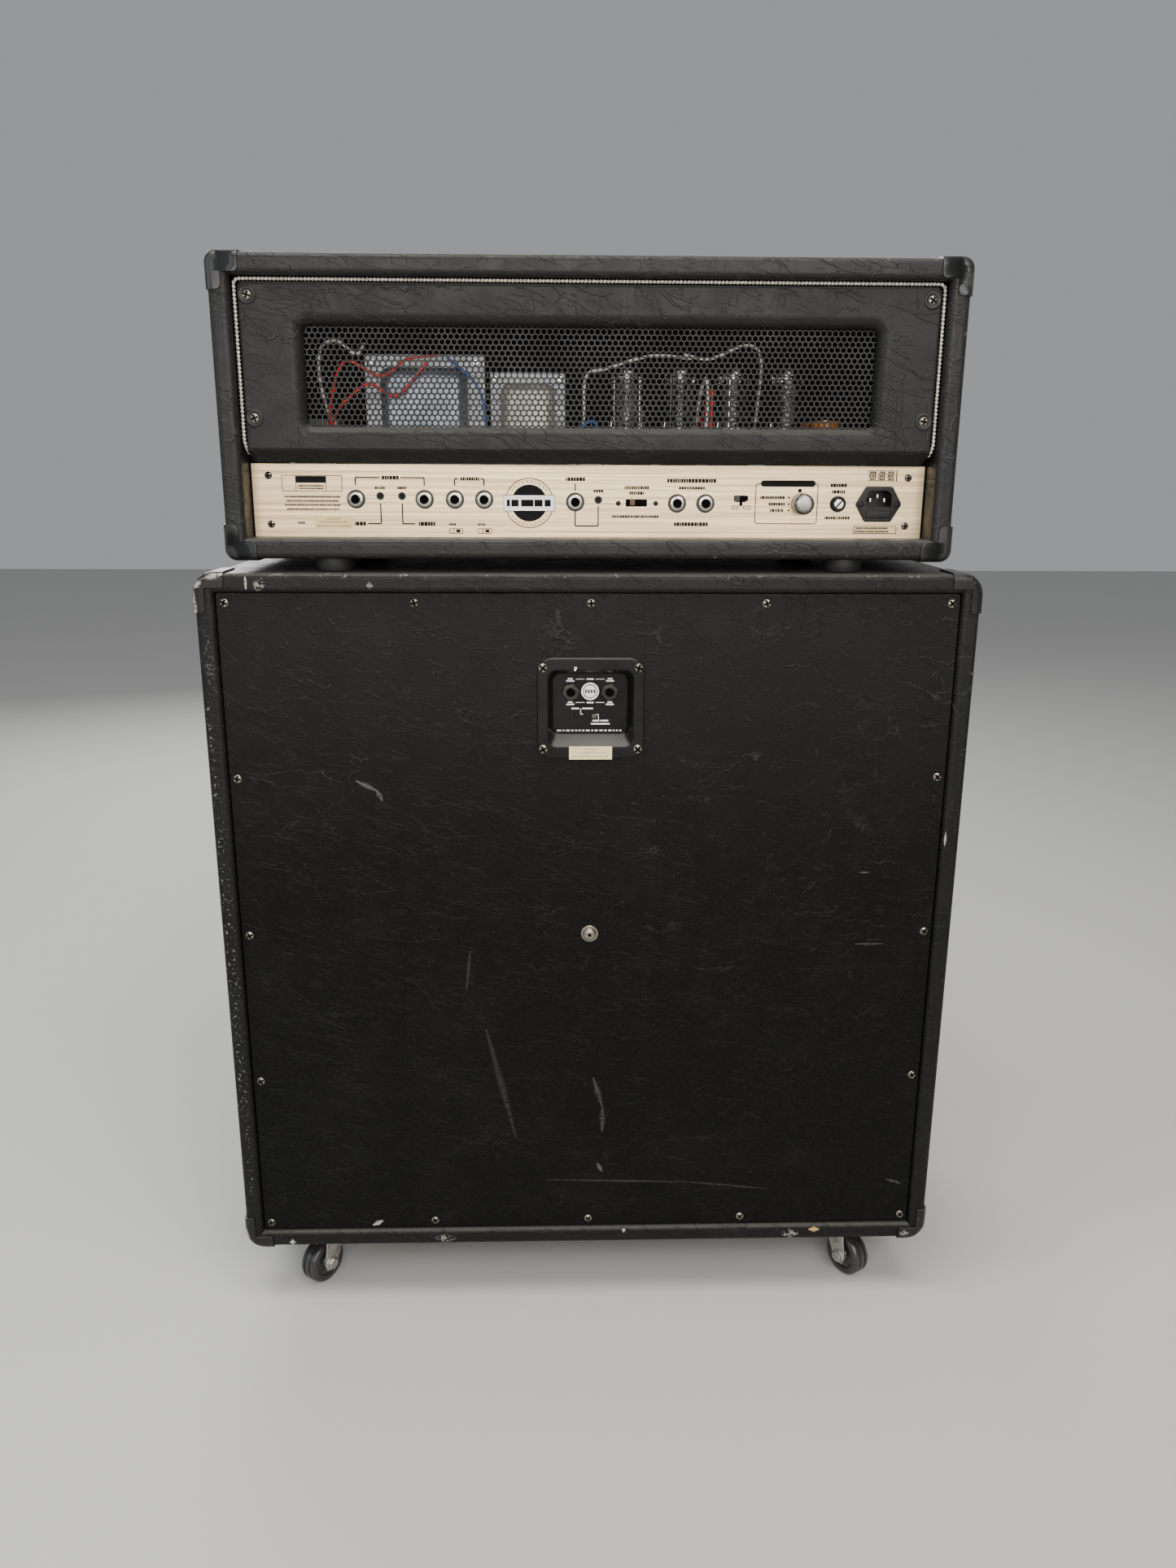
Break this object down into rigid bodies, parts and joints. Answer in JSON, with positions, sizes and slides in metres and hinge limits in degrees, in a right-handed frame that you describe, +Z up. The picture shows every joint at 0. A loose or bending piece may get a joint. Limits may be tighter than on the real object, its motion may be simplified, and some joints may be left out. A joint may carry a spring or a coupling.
{
  "type": "guitar amplifier",
  "caption": "Tube guitar amplifier head standing on a closed-back speaker cabinet with swivel casters, rear controls, vented back and recessed jack dish.",
  "frame": {"origin": "on the floor, under the middle of the whole object", "axes": "+Z up through both boxes, grille cloth towards -Y, rear panels towards +Y, +X to the right seen from the front"},
  "size_m": [0.764, 0.364, 1.119],
  "materials": {
    "tolex": "pebbled black vinyl over plywood",
    "plywood": "plain birch plywood",
    "grille_cloth": "woven black speaker cloth",
    "piping": "twisted silver cord",
    "corner_plastic": "moulded black plastic",
    "nickel": "bright nickel",
    "black_metal": "black paint",
    "paper_cone": "doped paper",
    "slider_black": "black",
    "zinc_steel": "zinc plated",
    "tread_rubber": "hard rubber",
    "foot_rubber": "moulded rubber",
    "strap": "moulded strap",
    "vent_black": "satin black perforated steel",
    "rear_aluminium": "brushed and anodised",
    "trim_plastic": "dark plastic",
    "chrome_knob": "polished",
    "lamp_red": "red lens",
    "tube_glass": "clear glass",
    "board_green": "circuit board"
  },
  "bodies": {
    "cabinet": {"cab_back_panel": "tolex", "cab_baffle": "plywood", "cab_bracing": "plywood", "cab_corners": "corner_plastic", "cab_grille_cloth": "grille_cloth", "cab_jack_dish": "corner_plastic", "cab_jacks": "nickel", "cab_piping": "piping", "cab_screws": "nickel", "cab_shell": "tolex", "cab_side_handles": "corner_plastic", "caster_plates": "zinc_steel", "speaker_frames": "black_metal"},
    "cones": {"speaker_cones": "paper_cone"},
    "stereo_switch": {"stereo_slider": "slider_black"},
    "swivel_1": {"caster_fork_1": "zinc_steel"},
    "wheel_1": {"caster_wheel_1": "tread_rubber"},
    "swivel_2": {"caster_fork_2": "zinc_steel"},
    "wheel_2": {"caster_wheel_2": "tread_rubber"},
    "swivel_3": {"caster_fork_3": "zinc_steel"},
    "wheel_3": {"caster_wheel_3": "tread_rubber"},
    "swivel_4": {"caster_fork_4": "zinc_steel"},
    "wheel_4": {"caster_wheel_4": "tread_rubber"},
    "head": {"circuit_board": "board_green", "front_panel": "rear_aluminium", "fuse_holder": "corner_plastic", "head_back_panel": "tolex", "head_chassis": "zinc_steel", "head_corners": "corner_plastic", "head_feet": "foot_rubber", "head_front_board": "plywood", "head_front_cloth": "grille_cloth", "head_handle_ends": "nickel", "head_handle_strap": "strap", "head_jacks": "nickel", "head_piping": "piping", "head_screws": "nickel", "head_shell": "tolex", "head_vent_mesh": "vent_black", "mains_inlet": "corner_plastic", "pilot_lamp": "lamp_red", "rear_plate": "rear_aluminium", "transformers": "zinc_steel", "tube_sockets": "trim_plastic", "tubes": "tube_glass"},
    "mode_knob": {"mode_knob": "chrome_knob"},
    "fuse_cap": {"fuse_cap": "nickel"},
    "fuse_drawer": {"fuse_drawer": "corner_plastic"},
    "send_trim": {"send_trim": "trim_plastic"},
    "return_trim": {"return_trim": "trim_plastic"},
    "line_trim": {"line_trim": "trim_plastic"},
    "impedance_slide": {"impedance_slide": "slider_black"},
    "ground_slide": {"ground_slide": "slider_black"},
    "power_rocker": {"power_rocker": "slider_black"},
    "standby_rocker": {"standby_rocker": "slider_black"},
    "presence_knob": {"presence_knob": "chrome_knob"},
    "treble_knob": {"treble_knob": "chrome_knob"},
    "middle_knob": {"middle_knob": "chrome_knob"},
    "bass_knob": {"bass_knob": "chrome_knob"},
    "volume_knob": {"volume_knob": "chrome_knob"}
  },
  "joints": [
    {"name": "swivel_1", "type": "hinge", "parent": "cabinet", "child": "swivel_1", "pos_m": [0.296, 0.122, 0.06], "axis": [0, 0, 1], "continuous": true},
    {"name": "roll_1", "type": "hinge", "parent": "swivel_1", "child": "wheel_1", "pos_m": [0.30747, 0.13838, 0.025], "axis": [0.8192, -0.5736, 0], "continuous": true},
    {"name": "swivel_2", "type": "hinge", "parent": "cabinet", "child": "swivel_2", "pos_m": [-0.296, 0.122, 0.06], "axis": [0, 0, 1], "continuous": true},
    {"name": "roll_2", "type": "hinge", "parent": "swivel_2", "child": "wheel_2", "pos_m": [-0.3066, 0.13896, 0.025], "axis": [0.848, 0.5299, 0], "continuous": true},
    {"name": "swivel_3", "type": "hinge", "parent": "cabinet", "child": "swivel_3", "pos_m": [-0.296, -0.122, 0.06], "axis": [0, 0, 1], "continuous": true},
    {"name": "roll_3", "type": "hinge", "parent": "swivel_3", "child": "wheel_3", "pos_m": [-0.31366, -0.13139, 0.025], "axis": [-0.4695, 0.8829, 0], "continuous": true},
    {"name": "swivel_4", "type": "hinge", "parent": "cabinet", "child": "swivel_4", "pos_m": [0.296, -0.122, 0.06], "axis": [0, 0, 1], "continuous": true},
    {"name": "roll_4", "type": "hinge", "parent": "swivel_4", "child": "wheel_4", "pos_m": [0.30445, -0.14013, 0.025], "axis": [-0.9063, -0.4226, 0], "continuous": true},
    {"name": "cone_travel", "type": "slide", "parent": "cabinet", "child": "cones", "axis": [0, 1, 0], "range_m": [-0.004, 0.004], "stiffness_N_per_m": 8000},
    {"name": "stereo_select", "type": "slide", "parent": "cabinet", "child": "stereo_switch", "axis": [1, 0, 0], "range_m": [0, 0.008]},
    {"name": "head_lift", "type": "slide", "parent": "cabinet", "child": "head", "axis": [0, 0, 1], "range_m": [0, 0.25]},
    {"name": "mode_turn", "type": "hinge", "parent": "head", "child": "mode_knob", "pos_m": [-0.208, 0.135, 0.881], "axis": [0, 1, 0], "range_deg": [-35, 35]},
    {"name": "fuse_cap_turn", "type": "hinge", "parent": "head", "child": "fuse_cap", "pos_m": [-0.244, 0.135, 0.881], "axis": [0, 1, 0], "range_deg": [0, 90]},
    {"name": "fuse_drawer_pull", "type": "slide", "parent": "head", "child": "fuse_drawer", "axis": [0, 1, 0], "range_m": [0, 0.018]},
    {"name": "send_trim_turn", "type": "hinge", "parent": "head", "child": "send_trim", "pos_m": [0.205, 0.135, 0.887], "axis": [0, 1, 0], "range_deg": [-135, 135]},
    {"name": "return_trim_turn", "type": "hinge", "parent": "head", "child": "return_trim", "pos_m": [0.184, 0.135, 0.887], "axis": [0, 1, 0], "range_deg": [-135, 135]},
    {"name": "line_trim_turn", "type": "hinge", "parent": "head", "child": "line_trim", "pos_m": [-0.0076, 0.135, 0.884], "axis": [0, 1, 0], "range_deg": [-135, 135]},
    {"name": "impedance_slide_move", "type": "slide", "parent": "head", "child": "impedance_slide", "axis": [1, 0, 0], "range_m": [-0.008, 0]},
    {"name": "ground_slide_move", "type": "slide", "parent": "head", "child": "ground_slide", "axis": [1, 0, 0], "range_m": [-0.008, 0]},
    {"name": "power_tip", "type": "hinge", "parent": "head", "child": "power_rocker", "pos_m": [0.296, -0.106, 0.884], "axis": [1, 0, 0], "range_deg": [-10, 10]},
    {"name": "standby_tip", "type": "hinge", "parent": "head", "child": "standby_rocker", "pos_m": [0.268, -0.106, 0.884], "axis": [1, 0, 0], "range_deg": [-10, 10]},
    {"name": "presence_turn", "type": "hinge", "parent": "head", "child": "presence_knob", "pos_m": [0.03, -0.112, 0.884], "axis": [0, -1, 0], "range_deg": [-150, 150]},
    {"name": "treble_turn", "type": "hinge", "parent": "head", "child": "treble_knob", "pos_m": [-0.018, -0.112, 0.884], "axis": [0, -1, 0], "range_deg": [-150, 150]},
    {"name": "middle_turn", "type": "hinge", "parent": "head", "child": "middle_knob", "pos_m": [-0.066, -0.112, 0.884], "axis": [0, -1, 0], "range_deg": [-150, 150]},
    {"name": "bass_turn", "type": "hinge", "parent": "head", "child": "bass_knob", "pos_m": [-0.114, -0.112, 0.884], "axis": [0, -1, 0], "range_deg": [-150, 150]},
    {"name": "volume_turn", "type": "hinge", "parent": "head", "child": "volume_knob", "pos_m": [-0.162, -0.112, 0.884], "axis": [0, -1, 0], "range_deg": [-150, 150]}
  ]
}
